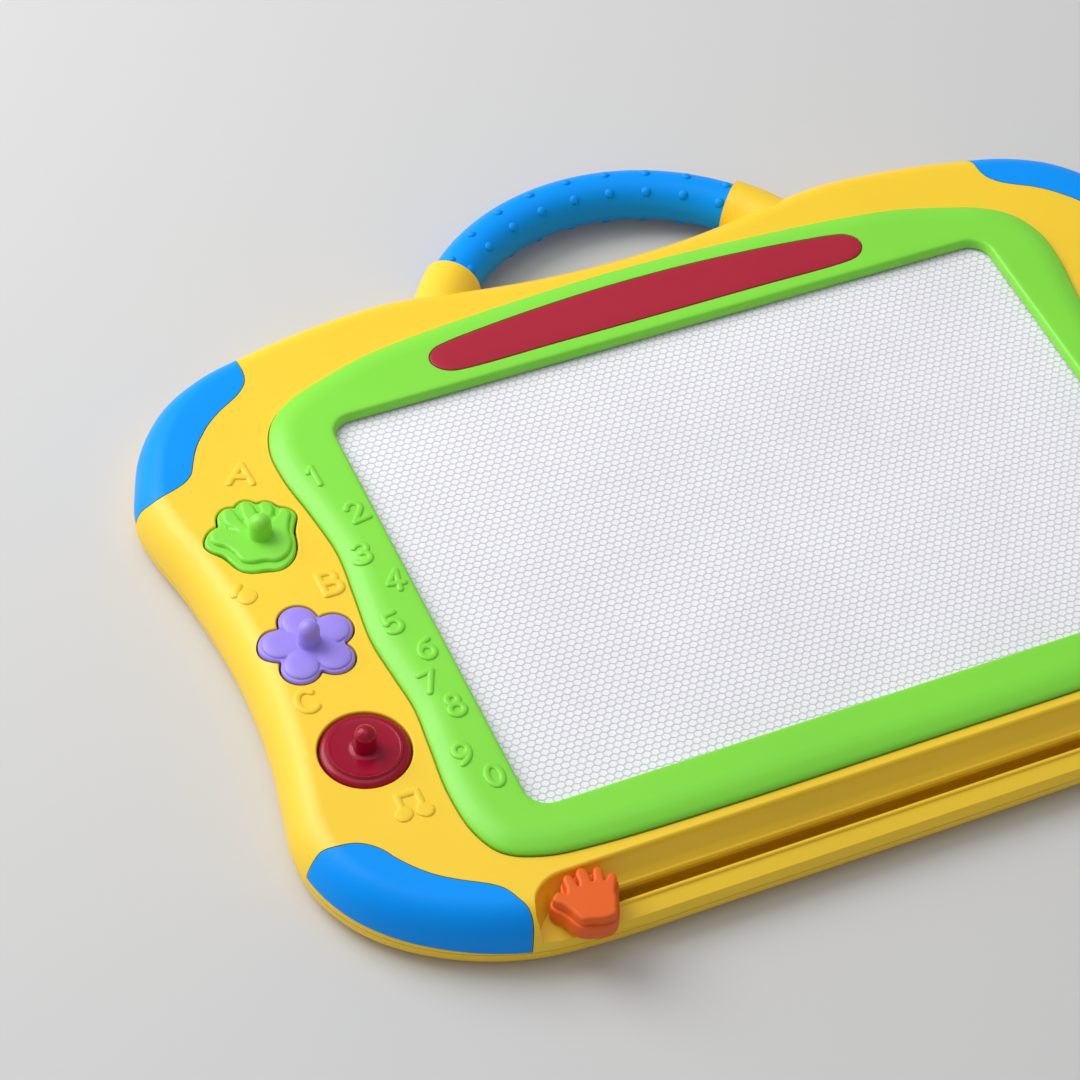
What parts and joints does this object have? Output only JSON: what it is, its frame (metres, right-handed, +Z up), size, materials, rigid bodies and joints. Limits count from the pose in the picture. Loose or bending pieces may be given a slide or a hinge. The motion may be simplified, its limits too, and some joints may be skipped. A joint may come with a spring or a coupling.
{
  "type": "magnetic drawing board",
  "caption": "Child's magnetic drawing board with a moulded case, framed honeycomb screen, sliding eraser, lift-out stamps, a pen in a channel and a tubular carry handle.",
  "frame": {"origin": "centre of the bounding box at the flat underside of the back cover", "axes": "+X along the board's width to the user's right, +Y towards the carry handle, +Z up out of the screen"},
  "size_m": [0.4194, 0.3304, 0.0355],
  "materials": {
    "yellow_plastic": "satin moulded",
    "green_plastic": "satin moulded",
    "blue_plastic": "satin moulded",
    "crimson_plastic": "satin printed panel, left bare",
    "red_plastic": "glossy moulded",
    "purple_plastic": "satin moulded",
    "orange_plastic": "satin moulded",
    "white_core": "matt white",
    "clear_film": "smooth translucent film",
    "dark_magnet": "matt bonded magnet",
    "steel": "plain turned"
  },
  "bodies": {
    "case": {"front_shell": "yellow_plastic", "back_cover": "yellow_plastic", "bezel": "green_plastic", "nameplate": "crimson_plastic", "panel_front_film": "clear_film", "honeycomb_core": "white_core", "panel_back_film": "clear_film", "rear_left_corner_guard": "blue_plastic", "rear_right_corner_guard": "blue_plastic", "front_left_corner_guard": "blue_plastic", "front_right_corner_guard": "blue_plastic", "handle_grip": "blue_plastic", "case_screw_1": "steel", "case_screw_2": "steel", "case_screw_3": "steel", "case_screw_4": "steel", "case_screw_5": "steel", "case_screw_6": "steel", "case_screw_7": "steel", "case_screw_8": "steel", "bezel_screw_1": "steel", "bezel_screw_2": "steel", "bezel_screw_3": "steel", "bezel_screw_4": "steel", "bezel_screw_5": "steel", "bezel_screw_6": "steel"},
    "eraser": {"eraser_bar": "white_core", "eraser_knob": "orange_plastic", "knob_pin": "steel", "eraser_magnet": "dark_magnet"},
    "hand": {"hand_stamp": "green_plastic", "hand_stamp_magnet": "dark_magnet"},
    "flower": {"flower_stamp": "purple_plastic", "flower_stamp_magnet": "dark_magnet"},
    "disc": {"disc_stamp": "red_plastic", "disc_stamp_magnet": "dark_magnet"},
    "pen": {"pen_barrel": "blue_plastic", "pen_end_cap": "yellow_plastic", "pen_magnet_tip": "dark_magnet"}
  },
  "joints": [
    {"name": "eraser_slide", "type": "slide", "parent": "case", "child": "eraser", "axis": [1, 0, 0], "range_m": [0, 0.256]},
    {"name": "hand_lift", "type": "slide", "parent": "case", "child": "hand", "axis": [0, 0, 1], "range_m": [0, 0.04]},
    {"name": "flower_lift", "type": "slide", "parent": "case", "child": "flower", "axis": [0, 0, 1], "range_m": [0, 0.04]},
    {"name": "disc_lift", "type": "slide", "parent": "case", "child": "disc", "axis": [0, 0, 1], "range_m": [0, 0.04]},
    {"name": "pen_lift", "type": "slide", "parent": "case", "child": "pen", "axis": [0, 0, 1], "range_m": [0, 0.04]}
  ]
}
